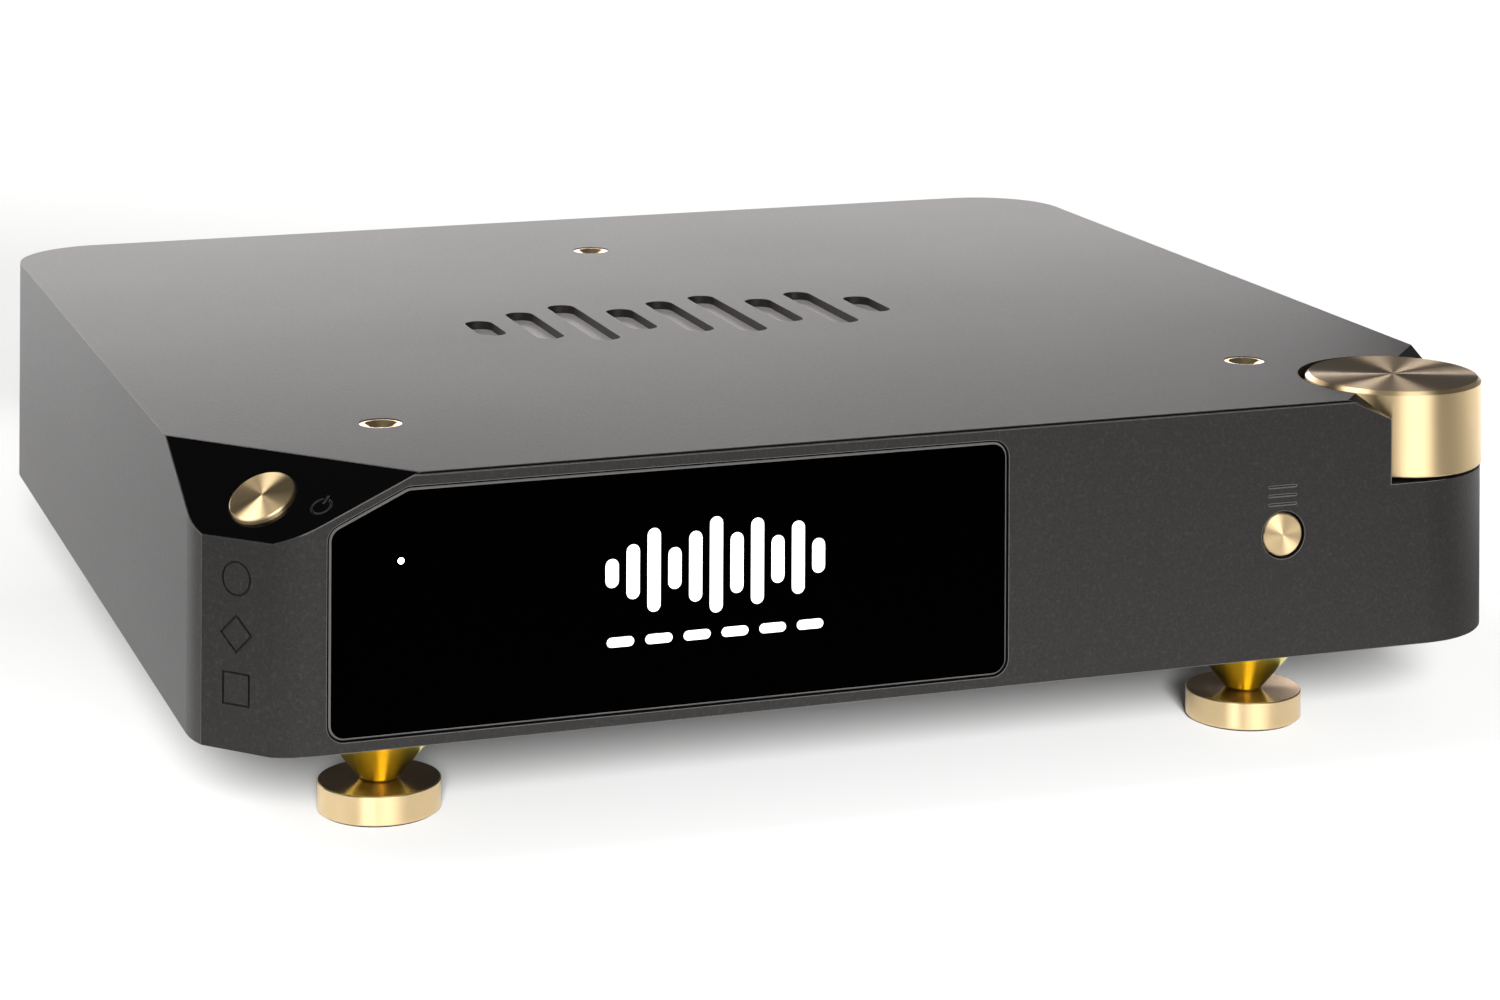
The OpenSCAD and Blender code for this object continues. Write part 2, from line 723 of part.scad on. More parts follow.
module fuse_drawer() {
  color([0.07, 0.07, 0.07]) from_rear() {
    difference() {
      box([-70.4, -21, 18.9], [5.7, 23, 20.2]);
      box([-72, -20, 25], [7.99, 12, 8]);
    }
    box([-70.4, 1.9, 27], [5.7, 1, 4]);
  }
}
module fuse() {
  color([0.8, 0.8, 0.75]) from_rear() translate([-67.8, -14, 25.2])
    cylinder(r = 2.2, h = 7.6, $fn = 32);
}
// metal shells, each with a tongue inside
module usb_socket() {
  color(steel) from_rear() union() {
    difference() {
      box([-50, -14, 11.5], [12, 16, 11.2]);
      box([-49.4, -13, 12.1], [10.8, 20, 10]);
    }
    box([-46.7, -13.5, 15.4], [5.4, 13, 3.2]);
  }
}
module i2s_socket() {
  color(steel) from_rear() union() {
    difference() {
      box([-27.5, -12, 15], [15, 13.5, 5.5]);
      box([-26.9, -11, 15.6], [13.8, 20, 4.3]);
    }
    box([-25.4, -11.5, 17.2], [10.8, 9.5, 1.1]);
  }
}
module optical_socket() {
  color([0.04, 0.04, 0.04]) from_rear() difference() {
    box([-49, -14, 34.5], [10, 15.5, 9.8]);
    box([-48.2, -10, 35.3], [8.4, 20, 8.2]);
    cross_rod([-48.75, 0.5, 42.8], 0.44, 9.5, 24);
  }
}
module optical_shutter() {
  color([0.09, 0.09, 0.09]) from_rear() union() {
    box([-48, 0.1, 35.5], [8, 0.8, 7.3]);
    cross_rod([-48.65, 0.5, 42.8], 0.4, 9.3, 24);
  }
}
// z out of the rear panel
module at_rca() {
  from_rear() for (p = rca_at) translate([p[0], flange_y, p[1]]) rotate([-90, 0, 0]) children();
}
module rca_jacks() {
  barrel_r = 4.15;
  color(brass) at_rca() difference() {
    union() {
      translate([0, 0, 1]) hexrod(12, 2.2);
      post(0, barrel_r, 9.88);
      post(-3.1, barrel_r, 4);
      post(-15, barrel_r, 12.2);
    }
    post(-6, 3.3, 20);
  }
}
module rca_insulators() {
  color([0.9, 0.9, 0.88]) at_rca() {
    translate([0, 0, 0.02]) ring(7.2, 4.2, 0.95);
    translate([0, 0, -2.98]) ring(5, 4.2, 2.95);
    translate([0, 0, -5.9]) ring(3.25, 1.6, 13);
  }
}
function xlr_screws(x) = [for (s = [-1, 1]) [x+9.5*s, xlr_z+12*s]];
// three contacts in a ring; side is 1 with one at the top, -1 with one at the bottom
function xlr_contacts(x, side) = [for (a = [90, 210, 330]) [x+4.4*cos(a), xlr_z+side*4.4*sin(a)]];
module xlr_flange(x) { box([x-13, flange_y, 13.5], [26, 2.2, 31]); }
module xlr_input() {
  x = xlr_x[0];
  color(socket_grey) from_rear() difference() {
    union() {
      xlr_flange(x);
      rod(x, -24, xlr_z, xlr_body_r, 26.6, 64);
    }
    // ring-shaped groove round the core
    difference() {
      rod(x, -1.8, xlr_z, 10.4, 20, 64);
      rod(x, -3, xlr_z, 9.2, 4.6, 64);
    }
    rods(xlr_contacts(x, -1), -12, 1.5, 30);
    box([x-3.6, -1.5, 38.4], [7.2, 8, 6.2]);
    rods(xlr_screws(x), -9, 1.6, 20);
  }
}
module xlr_latch() {
  color([0.75, 0.75, 0.75]) from_rear() box([xlr_x[0]-3.4, 1, 38.7], [6.8, 3, 5.6]);
}
module xlr_outputs() {
  color(socket_grey) from_rear() for (x = xlr_out_x) difference() {
    union() {
      xlr_flange(x);
      rod(x, -20, xlr_z, xlr_body_r, 22.6, 64);
    }
    rod(x, -12, xlr_z, 10, 30, 64);
    rods(xlr_contacts(x, 1), -30, 1.28, 30);
    rods(xlr_screws(x), -9, 1.6, 20);
  }
}
module xlr_pins() {
  color(brass) from_rear() for (x = xlr_out_x) rods(xlr_contacts(x, 1), -24, 1.25, 23);
}
module connector_screws() {
  color(black) from_rear() for (x = xlr_x) wall_screws(xlr_screws(x), 1.85, 9, head_h = 1.2);
}

// ---- Transformers ----
module transformers() {
  color([0.62, 0.45, 0.12]) in_case() at(toroid_at, 6.2) rotate_extrude($fn = 96)
    polygon(rounded([[11, 0], [34, 0], [34, 32], [11, 32]], 7, 6));
}
// rubber pads under and over each transformer
module transformer_pads() {
  color([0.06, 0.06, 0.06]) in_case() {
    at(toroid_at, base_top+0.05) ring(34, 9, 2.1, 64);
    at(toroid_at, 38.25) ring(32, 9, 2, 64);
  }
}
module transformer_clamps() { color(steel) in_case() at(toroid_at, 40.3) ring(30, 3.3, 1.5, 64); }
module transformer_bolts() {
  color(steel) in_case() at(toroid_at) {
    post(1.2, 2.9, 46, 32);
    translate([0, 0, 41.9]) difference() {
      hexrod(10, 4);
      post(-1, 2.95, 9, 32);
    }
  }
}

// ---- Boards ----
module board(corner, size, holes) {
  difference() {
    box([corner[0], corner[1], board_z], [size[0], size[1], board_t]);
    at(holes) cylinder(r = 1.6, h = 20, $fn = 24);
  }
}
module supply_board() {
  color(board_green) in_case() {
    board([-146, 132], [80, 136], supply_stands);
    block(-82, 250, board_top, [20, 12, 10]);
  }
}
module filter_capacitors() {
  color([0.12, 0.12, 0.15]) in_case() for (i = [0:2], j = [0:3])
    translate([-128+21*i, 158+22*j, part_z]) cylinder(r = 9, h = 28, $fn = 40);
}
module heatsinks() {
  color([0.15, 0.15, 0.15]) in_case() at([for (x = [-125, -104, -84]) [x-9, 137]], part_z) union() {
    cube([18, 2.2, 26]);
    for (i = [0:4]) box([i*4, 0, 0], [1.6, 8, 26]);
  }
}
module input_board() {
  color(board_green) in_case() {
    board([-60, 220], [52, 61], input_stands);
    block(-34, 248, board_top, [22, 22, 1.6]);
    block(-20, 234, board_top, [12, 9, 5]);
  }
}
module converter_board() {
  color(board_green) in_case() {
    board([10, 132], [136, 142], converter_stands);
    block(50, 236, board_top, [20, 20, 1.6]);
    for (x = [95, 112, 129]) block(x, 246, board_top, [10, 12, 8]);
  }
}
module ladder_modules() {
  color([0.06, 0.10, 0.28]) in_case() at([for (i = [0:3]) [36+26*i, 150]], part_z) union() {
    cube([1.6, 70, 22]);
    for (j = [0:6]) box([1.6, 5+9.4*j, 4], [1.1, 5, 14]);
    box([-1, 4, 0], [3.6, 62, 3]);
  }
}
module board_standoffs() {
  color([0.8, 0.65, 0.35]) in_case() at(stands, base_top+0.05) difference() {
    hexrod(5.5, 6);
    post(-1, 1.5, 10, 24);
  }
}
module board_screws() {
  color(zinc) in_case() {
    at(stands, part_z) rotate([180, 0, 0]) pan_screw(4, r = 1.4, head_h = 1.6, head_r = 2.6);
    at(stands, 0.95) pan_screw(5.2, r = 1.4, head_h = 0.9, head_r = 2.6);
  }
}
// from the display back under the lid and down behind; section as [y, z]
module ribbon_cable() {
  color([0.55, 0.55, 0.57]) in_case() translate([-11, 0, 0]) rotate([90, 0, 90])
    linear_extrude(22) polygon([
      [11.6, 46], [12.4, 46], [12.4, 52.4], [150, 52.4], [215, 52.4], [225, 44], [225, 13],
      [224.2, 13], [224.2, 43.6], [214.6, 51.6], [13.2, 51.6], [13.2, 45.2], [11.6, 45.2]]);
}

top_shell();
front_panel();
control_plate();
bottom_plate();
rear_panel();
pillars();
top_screws();
bottom_screws();
rear_screws();
front_screws();
foot_spikes();
foot_discs();
foot_pads();
display_glass();
display_gasket();
display_module();
display_bracket();
light_pipe();
ir_receiver();
power_button();
power_switch();
power_switch_board();
button_board_screws();
menu_button();
menu_switch();
menu_switch_board();
volume_knob();
knob_set_screw();
encoder_shaft();
encoder_body();
encoder_nut();
power_inlet();
inlet_blades();
rocker_switch();
fuse_drawer();
fuse();
usb_socket();
i2s_socket();
optical_socket();
optical_shutter();
rca_jacks();
rca_insulators();
xlr_input();
xlr_latch();
xlr_outputs();
xlr_pins();
connector_screws();
transformers();
transformer_pads();
transformer_clamps();
transformer_bolts();
supply_board();
filter_capacitors();
heatsinks();
input_board();
converter_board();
ladder_modules();
board_standoffs();
board_screws();
ribbon_cable();
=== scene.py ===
import bpy, bmesh, json, math
from mathutils import Vector, Matrix

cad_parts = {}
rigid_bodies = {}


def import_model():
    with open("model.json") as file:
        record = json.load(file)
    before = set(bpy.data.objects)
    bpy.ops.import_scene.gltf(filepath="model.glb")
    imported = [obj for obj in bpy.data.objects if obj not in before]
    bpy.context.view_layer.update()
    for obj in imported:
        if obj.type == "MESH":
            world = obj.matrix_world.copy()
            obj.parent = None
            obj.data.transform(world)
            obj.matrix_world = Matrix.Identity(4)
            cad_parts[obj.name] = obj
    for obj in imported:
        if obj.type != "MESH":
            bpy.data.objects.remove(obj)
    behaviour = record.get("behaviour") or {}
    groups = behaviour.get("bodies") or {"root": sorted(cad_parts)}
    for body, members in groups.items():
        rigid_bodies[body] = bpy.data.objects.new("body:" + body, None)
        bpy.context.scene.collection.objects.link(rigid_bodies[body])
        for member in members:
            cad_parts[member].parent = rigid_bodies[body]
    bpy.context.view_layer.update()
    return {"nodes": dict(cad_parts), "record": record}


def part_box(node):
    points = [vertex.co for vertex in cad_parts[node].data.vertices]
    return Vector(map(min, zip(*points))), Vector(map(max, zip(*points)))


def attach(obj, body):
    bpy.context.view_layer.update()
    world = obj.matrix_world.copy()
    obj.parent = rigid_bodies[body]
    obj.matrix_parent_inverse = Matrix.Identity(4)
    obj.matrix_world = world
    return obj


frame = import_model()
N = frame["nodes"]
SLOT = {s["node"]: s["material_slot"] for s in frame["record"]["subparts"]}

# ---------------------------------------------------------------- reference points, from the frame
lo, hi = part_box("top_shell")
X0, X1 = lo.x, hi.x
ZB, ZT = lo.z, hi.z
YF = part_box("front_panel")[0].y          # front face
YR = hi.y                                # rear face of the shell
HW = (X1 - X0) / 2
klo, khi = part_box("volume_knob"); KC = (klo + khi) / 2
mlo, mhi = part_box("menu_button"); MC = (mlo + mhi) / 2
plo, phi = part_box("power_button"); PC = (plo + phi) / 2
dlo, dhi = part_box("foot_discs")
disc_r = (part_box("foot_pads")[1].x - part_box("foot_pads")[0].x) / 2
FXc = (dhi.x - dlo.x) / 2 - 0.01435      # x of the front feet
FYf = dlo.y + 0.01435                    # y of the front feet
FYr = dhi.y - 0.01435                    # y of the rear foot
# left facet plane
fx, fy, fz = 46.7, 52.3, 21.65
FN = Vector((-1 / fx, -1 / fy, 1 / fz)).normalized()
mm = 0.001

# ---------------------------------------------------------------- node helpers
class NT:
    def __init__(self, name):
        self.m = bpy.data.materials.new(name)
        self.m.use_nodes = True
        self.t = self.m.node_tree
        self.t.nodes.clear()
        self.out = self.t.nodes.new("ShaderNodeOutputMaterial")
        self.b = self.t.nodes.new("ShaderNodeBsdfPrincipled")
        self.t.links.new(self.b.outputs[0], self.out.inputs[0])
        self.tc = self.t.nodes.new("ShaderNodeTexCoord")
        self.P = self.tc.outputs["Object"]
        self.G = self.t.nodes.new("ShaderNodeNewGeometry")

    def n(self, kind, **kw):
        nd = self.t.nodes.new(kind)
        for k, v in kw.items():
            setattr(nd, k, v)
        return nd

    def put(self, sock, v):
        if isinstance(v, bpy.types.NodeSocket):
            self.t.links.new(v, sock)
        elif v is not None:
            sock.default_value = v

    def math(self, op, a, b=None, c=None, clamp=False):
        nd = self.n("ShaderNodeMath", operation=op)
        nd.use_clamp = clamp
        self.put(nd.inputs[0], a)
        if b is not None: self.put(nd.inputs[1], b)
        if c is not None: self.put(nd.inputs[2], c)
        return nd.outputs[0]

    def vec(self, op, a, b=None, scale=None):
        nd = self.n("ShaderNodeVectorMath", operation=op)
        self.put(nd.inputs[0], a)
        if b is not None: self.put(nd.inputs[1], b)
        if scale is not None: self.put(nd.inputs["Scale"], scale)
        return nd.outputs["Value"] if op in ("LENGTH", "DOT_PRODUCT", "DISTANCE") else nd.outputs[0]

    def noise(self, scale, detail=2.0, rough=0.5, vec=None, distortion=0.0):
        nd = self.n("ShaderNodeTexNoise")
        self.put(nd.inputs["Vector"], vec if vec is not None else self.P)
        nd.inputs["Scale"].default_value = scale
        nd.inputs["Detail"].default_value = detail
        nd.inputs["Roughness"].default_value = rough
        nd.inputs["Distortion"].default_value = distortion
        return nd.outputs["Fac"]

    def voronoi(self, scale, feature="F1", vec=None, out="Distance"):
        nd = self.n("ShaderNodeTexVoronoi")
        nd.feature = feature
        self.put(nd.inputs["Vector"], vec if vec is not None else self.P)
        nd.inputs["Scale"].default_value = scale
        return nd.outputs[out]

    def ramp(self, fac, stops, interp="LINEAR"):
        nd = self.n("ShaderNodeValToRGB")
        nd.color_ramp.interpolation = interp
        el = nd.color_ramp.elements
        while len(el) < len(stops): el.new(0.5)
        for e, (p, c) in zip(el, stops):
            e.position = p
            e.color = c if len(c) == 4 else (*c, 1)
        self.put(nd.inputs[0], fac)
        return nd.outputs[0]

    def rng(self, v, a, b, c, d, clamp=True):
        nd = self.n("ShaderNodeMapRange")
        nd.clamp = clamp
        self.put(nd.inputs[0], v)
        for i, q in zip((1, 2, 3, 4), (a, b, c, d)): self.put(nd.inputs[i], q)
        return nd.outputs[0]

    def mix(self, fac, a, b, blend="MIX"):
        nd = self.n("ShaderNodeMix", data_type="RGBA")
        nd.blend_type = blend
        self.put(nd.inputs[0], fac)
        for s, v in ((nd.inputs[6], a), (nd.inputs[7], b)):
            self.put(s, (*v, 1) if isinstance(v, tuple) and len(v) == 3 else v)
        return nd.outputs[2]

    def sep(self, v):
        nd = self.n("ShaderNodeSeparateXYZ")
        self.put(nd.inputs[0], v)
        return nd.outputs

    def comb(self, x, y, z):
        nd = self.n("ShaderNodeCombineXYZ")
        for s, v in zip(nd.inputs, (x, y, z)): self.put(s, v)
        return nd.outputs[0]

    def bump(self, h, strength, dist, normal=None):
        nd = self.n("ShaderNodeBump")
        nd.inputs["Strength"].default_value = strength
        nd.inputs["Distance"].default_value = dist
        self.put(nd.inputs["Height"], h)
        if normal is not None: self.put(nd.inputs["Normal"], normal)
        return nd.outputs[0]

    def bevel(self, r, samples=6):
        nd = self.n("ShaderNodeBevel")
        nd.samples = samples
        nd.inputs["Radius"].default_value = r
        return nd.outputs[0]

    def edge(self, r, lo=0.90, hi=0.998):
        """1 on edges, 0 on flats: how far a rounded normal turns from the true one. The materials lighten edges with
        it, as a painted highlight on the anodised, gloss black, glass and turned brass finishes.
        """
        b = self.bevel(r)
        d = self.vec("DOT_PRODUCT", b, self.G.outputs["True Normal"])
        return self.rng(d, lo, hi, 1.0, 0.0), b

    def ao(self, dist, lo=0.35, hi=0.95, samples=6):
        """0 deep in grooves and gaps, 1 on open faces."""
        nd = self.n("ShaderNodeAmbientOcclusion")
        nd.samples = samples; nd.only_local = True
        nd.inputs["Distance"].default_value = dist
        return self.rng(nd.outputs["AO"], lo, hi, 0.0, 1.0)

    def set(self, **kw):
        for k, v in kw.items():
            nm = k.replace("_", " ")
            s = self.b.inputs[nm]
            self.put(s, (*v, 1) if isinstance(v, tuple) and len(v) == 3 and s.type == "RGBA" else v)
        return self


# ---------------------------------------------------------------- materials
def m_anodised(name, base, rough, glint_level, facet_gloss=True, edge_r=0.0002, grain=0.35, edge_highlight=0.6, deep_dark=False, recess=None):
    """Bead-blasted, anodised aluminium: dark coat, fine blasted grain with painted glints, and sharp edges with a
    painted highlight.
    """
    t = NT(name)
    g1 = t.noise(2300, 2, 0.65)
    g2 = t.noise(1000, 3, 0.6)
    cloud = t.noise(7, 3, 0.5)
    e, bn = t.edge(edge_r)
    ao = t.ao(0.0007)
    # painted glints: bright specks in the base colour stand in for light glinting off the blasted grain
    glint_speck = t.rng(g2, 0.52, 0.74, 0, 1)
    col = t.mix(t.math("MULTIPLY", glint_speck, glint_level), base, tuple(min(1, c * 3.2) for c in base))
    col = t.mix(t.rng(g1, 0.3, 0.7, 0, 0.5), col, tuple(c * 0.5 for c in base))
    col = t.mix(t.rng(cloud, 0.35, 0.65, 0, 0.12), col, tuple(c * 1.35 for c in base))
    # painted highlight: edges are lightened to pale grey; with deep_dark, edges behind the front skin get none, so the
    # walls of openings stay dark
    skin = t.rng(t.sep(t.P)[1], YF + 0.00045, YF + 0.0007, 1.0, 0.0) if deep_dark else 1.0
    col = t.mix(t.math("MULTIPLY", t.math("MULTIPLY", e, edge_highlight), skin), col, (0.36, 0.345, 0.335))
    if recess:        # the floors of the sunk bars in the lid look lighter than their walls
        low = t.math("MULTIPLY", t.math("LESS_THAN", t.sep(t.P)[2], recess), t.math("GREATER_THAN", t.sep(t.G.outputs["Normal"])[2], 0.9))
        low = t.math("MULTIPLY", low, t.math("GREATER_THAN", t.sep(t.P)[2], recess - 0.006))
        col = t.mix(low, col, t.mix(t.rng(g1, 0.3, 0.7, 0, 1), (0.30, 0.29, 0.285), (0.22, 0.21, 0.208)))
    r = t.math("ADD", rough, t.math("MULTIPLY", t.math("SUBTRACT", g1, 0.5), 0.2))
    r = t.math("ADD", r, t.math("MULTIPLY", t.math("SUBTRACT", cloud, 0.5), 0.05))
    nrm = t.bump(t.math("ADD", g1, t.math("MULTIPLY", g2, 1.5)), grain, 0.00006, bn)
    t.set(Base_Color=col, Roughness=r, Normal=nrm, IOR=1.5, Specular_IOR_Level=t.math("MULTIPLY", t.rng(ao, 0, 1, 0.08, 0.44), t.rng(g1, 0.3, 0.7, 0.76, 1.24)))
    if facet_gloss:
        # the right corner facet is polished black: mask by the mirrored facet plane
        nx = Vector((-FN.x, FN.y, FN.z))
        d = t.vec("DOT_PRODUCT", t.G.outputs["True Normal"], tuple(nx))
        k = t.math("GREATER_THAN", d, 0.999)
        t.put(t.b.inputs["Base Color"], t.mix(k, col, (0.003, 0.003, 0.003)))
        t.put(t.b.inputs["Roughness"], t.math("ADD", t.math("MULTIPLY", r, t.math("SUBTRACT", 1.0, k)), t.math("MULTIPLY", k, 0.05)))
    return t.m


def m_gloss_black(name):
    t = NT(name)
    e, bn = t.edge(0.00012)
    swirl = t.noise(1400, 2, 0.5)
    haze = t.noise(40, 3, 0.5)
    # painted highlight: edges are lightened from black to grey
    col = t.mix(t.math("MULTIPLY", e, 0.8), (0.0010, 0.0010, 0.0011), (0.16, 0.16, 0.16))
    r = t.rng(haze, 0.3, 0.7, 0.035, 0.075)
    t.set(Base_Color=col, Roughness=r, Normal=t.bump(swirl, 0.02, 0.00001, bn), IOR=1.42, Specular_IOR_Level=0.22)
    return t.m


def m_display(name):
    t = NT(name)
    e, bn = t.edge(0.00012, 0.7, 0.995)
    # painted highlight: the glass's bevel faces and edges are painted light grey, standing in for their reflection of
    # the bright floor
    facing = t.math("ABSOLUTE", t.sep(t.G.outputs["Normal"])[1])
    e = t.math("MAXIMUM", t.math("MULTIPLY", t.math("LESS_THAN", facing, 0.97), t.math("GREATER_THAN", facing, 0.3)), t.math("MULTIPLY", e, 0.4))
    smear = t.noise(30, 4, 0.55, distortion=0.6)
    col = t.mix(t.math("MULTIPLY", e, 0.9), (0.0001, 0.0001, 0.0001), (0.24, 0.235, 0.23))
    r = t.rng(smear, 0.3, 0.75, 0.03, 0.10)
    t.set(Base_Color=col, Roughness=r, Normal=bn, IOR=1.30, Specular_IOR_Level=t.rng(e, 0, 1, 0.01, 0.5))
    return t.m


def centre_three(t):
    """Centre of the nearest of the three feet or lid screws, from the object position."""
    s = t.sep(t.P)
    right = t.math("GREATER_THAN", s[0], FXc / 2)
    left = t.math("LESS_THAN", s[0], -FXc / 2)
    cx = t.math("MULTIPLY", t.math("SUBTRACT", right, left), FXc)
    side = t.math("ADD", right, left)
    cy = t.math("ADD", t.math("MULTIPLY", side, FYf), t.math("MULTIPLY", t.math("SUBTRACT", 1.0, side), FYr))
    return t.comb(cx, cy, 0.0)


def m_turned(name, centre, axis, base, rough=0.26, aniso=0.85, groove=9000, depth=0.3, three=False, cone=0.0, edge_r=0.00018, side_rough=None, painted_face_tone=None):
    """Lathe-turned brass: circular grooves about an axis, so that the highlight fans out from the centre."""
    t = NT(name)
    c = centre_three(t) if three else tuple(centre)
    rel = t.vec("SUBTRACT", t.P, c)
    gdir = t.vec("CROSS_PRODUCT", tuple(axis), rel)
    vt = t.n("ShaderNodeVectorTransform", vector_type="VECTOR", convert_from="OBJECT", convert_to="WORLD")
    t.put(vt.inputs[0], gdir)
    tan = t.vec("NORMALIZE", t.vec("CROSS_PRODUCT", vt.outputs[0], t.G.outputs["Normal"]))
    # turned faces are very slightly conical: lean the normal along the radius on faces square to the axis
    rv = t.n("ShaderNodeVectorTransform", vector_type="VECTOR", convert_from="OBJECT", convert_to="WORLD")
    t.put(rv.inputs[0], t.vec("CROSS_PRODUCT", gdir, tuple(axis)))
    av = t.n("ShaderNodeVectorTransform", vector_type="VECTOR", convert_from="OBJECT", convert_to="WORLD")
    av.inputs[0].default_value = tuple(axis)
    flat = t.math("GREATER_THAN", t.math("ABSOLUTE", t.vec("DOT_PRODUCT", t.G.outputs["Normal"], av.outputs[0])), 0.98)
    lean = t.vec("SCALE", t.vec("NORMALIZE", rv.outputs[0]), scale=t.math("MULTIPLY", flat, cone))
    # radius and height along the axis
    along = t.vec("DOT_PRODUCT", rel, tuple(axis))
    rad = t.vec("LENGTH", gdir)
    coord = t.comb(t.math("MULTIPLY", rad, 1.0), t.math("MULTIPLY", along, 1.0), 0.0)
    g = t.noise(groove, 2, 0.6, vec=coord)
    g2 = t.noise(groove * 0.18, 2, 0.5, vec=coord)
    e, bn = t.edge(edge_r)
    pat = t.noise(55, 4, 0.6)
    side = t.math("ADD", 0.2, t.math("MULTIPLY", flat, 0.8))
    col = t.mix(t.math("MULTIPLY", t.rng(g2, 0.3, 0.7, 0, 0.3), side), base, tuple(x * 0.82 for x in base))
    col = t.mix(t.rng(pat, 0.55, 0.8, 0, 0.18), col, (base[0] * 0.78, base[1] * 0.66, base[2] * 0.5))
    # painted reflection: faces square to the axis take their own tone for what they reflect, a paler mauve brown on the
    # knob top and a painted shade of dark brown on the foot disc tops under the case
    if painted_face_tone: col = t.mix(t.math("MULTIPLY", flat, 0.85), col, painted_face_tone)
    # painted highlight: edges are lightened towards pale gold
    col = t.mix(t.math("MULTIPLY", e, 0.35), col, (0.95, 0.86, 0.66))
    if side_rough: rough = t.rng(flat, 0, 1, side_rough, rough)
    r = t.math("ADD", rough, t.math("MULTIPLY", t.math("MULTIPLY", t.math("SUBTRACT", g, 0.5), 0.14), side))
    nrm = t.bump(t.math("MULTIPLY", g, side), depth, 0.000012, t.vec("NORMALIZE", t.vec("ADD", bn, lean)))
    t.set(Base_Color=col, Metallic=1.0, Roughness=r, Anisotropic=aniso, Tangent=tan, Normal=nrm)
    return t.m


def m_simple(name, base, rough=0.5, metallic=0.0, grain=3000, bump=0.15, var=0.2, edge=0.3, edge_col=None, edge_r=0.0002, spec=0.5, coat=0.0, cloud=25):
    """Moulded, sheet or plated finish with grain, patchy colour, and lightened edges."""
    t = NT(name)
    e, bn = t.edge(edge_r)
    g = t.noise(grain, 2, 0.6)
    c = t.noise(cloud, 3, 0.55)
    col = t.mix(t.rng(c, 0.3, 0.7, 0, var), base, tuple(min(1, x * 0.7) for x in base))
    col = t.mix(t.rng(g, 0.5, 0.75, 0, var), col, tuple(min(1, x * 1.5 + 0.004) for x in base))
    col = t.mix(t.math("MULTIPLY", e, edge), col, edge_col or tuple(min(1, x * 2 + 0.05) for x in base))
    r = t.math("ADD", rough, t.math("MULTIPLY", t.math("SUBTRACT", g, 0.5), 0.2))
    t.set(Base_Color=col, Roughness=r, Metallic=metallic, Normal=t.bump(g, bump, 0.00004, bn), Specular_IOR_Level=spec, Coat_Weight=coat, Coat_Roughness=0.08)
    return t.m


def m_brushed(name, base, rough=0.3, axis=(1, 0, 0)):
    t = NT(name)
    sc = tuple(30 if a else 4000 for a in axis)
    mp = t.vec("MULTIPLY", t.P, sc)
    g = t.noise(1.0, 3, 0.6, vec=mp)
    e, bn = t.edge(0.0002)
    col = t.mix(t.rng(g, 0.3, 0.7, 0, 0.4), base, tuple(x * 0.75 for x in base))
    col = t.mix(t.math("MULTIPLY", e, 0.3), col, (0.9, 0.9, 0.9))
    r = t.math("ADD", rough, t.math("MULTIPLY", t.math("SUBTRACT", g, 0.5), 0.2))
    t.set(Base_Color=col, Roughness=r, Metallic=1.0, Normal=t.bump(g, 0.1, 0.00002, bn))
    return t.m


def m_pcb(name, base, metal=(0.75, 0.58, 0.25)):
    """Solder mask over copper: faint traces and pads."""
    t = NT(name)
    s = t.sep(t.P)
    n = t.n("ShaderNodeTexBrick")
    t.put(n.inputs["Vector"], t.vec("MULTIPLY", t.P, (1, 1, 0)))
    n.inputs["Scale"].default_value = 220
    n.inputs["Mortar Size"].default_value = 0.03
    n.inputs["Color1"].default_value = (1, 1, 1, 1); n.inputs["Color2"].default_value = (0.8, 0.8, 0.8, 1); n.inputs["Mortar"].default_value = (0, 0, 0, 1)
    tr = n.outputs["Color"]
    pads = t.rng(t.voronoi(330), 0.12, 0.16, 1, 0)
    col = t.mix(0.35, base, tr, "MULTIPLY")
    col = t.mix(t.math("MULTIPLY", pads, 0.8), col, metal)
    t.set(Base_Color=col, Roughness=t.rng(t.noise(400), 0.3, 0.7, 0.25, 0.4), Normal=t.bump(tr, 0.2, 0.00003), Metallic=t.math("MULTIPLY", pads, 0.8))
    return t.m


def m_tape(name, base):
    """Transformer winding tape: overlapping wraps seen as radial bands."""
    t = NT(name)
    s = t.sep(t.P)
    cx = t.math("MULTIPLY", t.math("SIGN", s[0]), 0.0525)
    a = t.math("ARCTAN2", t.math("SUBTRACT", s[1], -0.0718), t.math("SUBTRACT", s[0], cx))
    w = t.math("SINE", t.math("MULTIPLY", a, 46.0))
    col = t.mix(t.rng(w, -1, 1, 0, 0.5), base, tuple(x * 0.45 for x in base))
    t.set(Base_Color=col, Roughness=0.28, Normal=t.bump(w, 0.3, 0.0003), Coat_Weight=0.4)
    return t.m


def m_felt(name):
    t = NT(name)
    f = t.noise(2500, 3, 0.8)
    t.set(Base_Color=t.mix(f, (0.008, 0.008, 0.008), (0.04, 0.04, 0.04)), Roughness=0.95, Normal=t.bump(f, 0.8, 0.0003), Sheen_Weight=0.3)
    return t.m


def m_glow(name, col, strength):
    t = NT(name)
    g = t.noise(2200, 1, 0.4)
    t.set(Base_Color=(0.8, 0.85, 0.9), Roughness=0.4, Emission_Color=col, Emission_Strength=t.rng(g, 0.3, 0.7, strength * 0.96, strength))
    return t.m


def m_cable(name):
    t = NT(name)
    s = t.sep(t.P)
    w = t.math("SINE", t.math("MULTIPLY", s[0], 2 * math.pi / 0.00127))
    t.set(Base_Color=t.mix(t.rng(w, -1, 1, 0, 0.5), (0.32, 0.32, 0.34), (0.14, 0.14, 0.16)), Roughness=0.5, Normal=t.bump(w, 0.6, 0.0004))
    return t.m


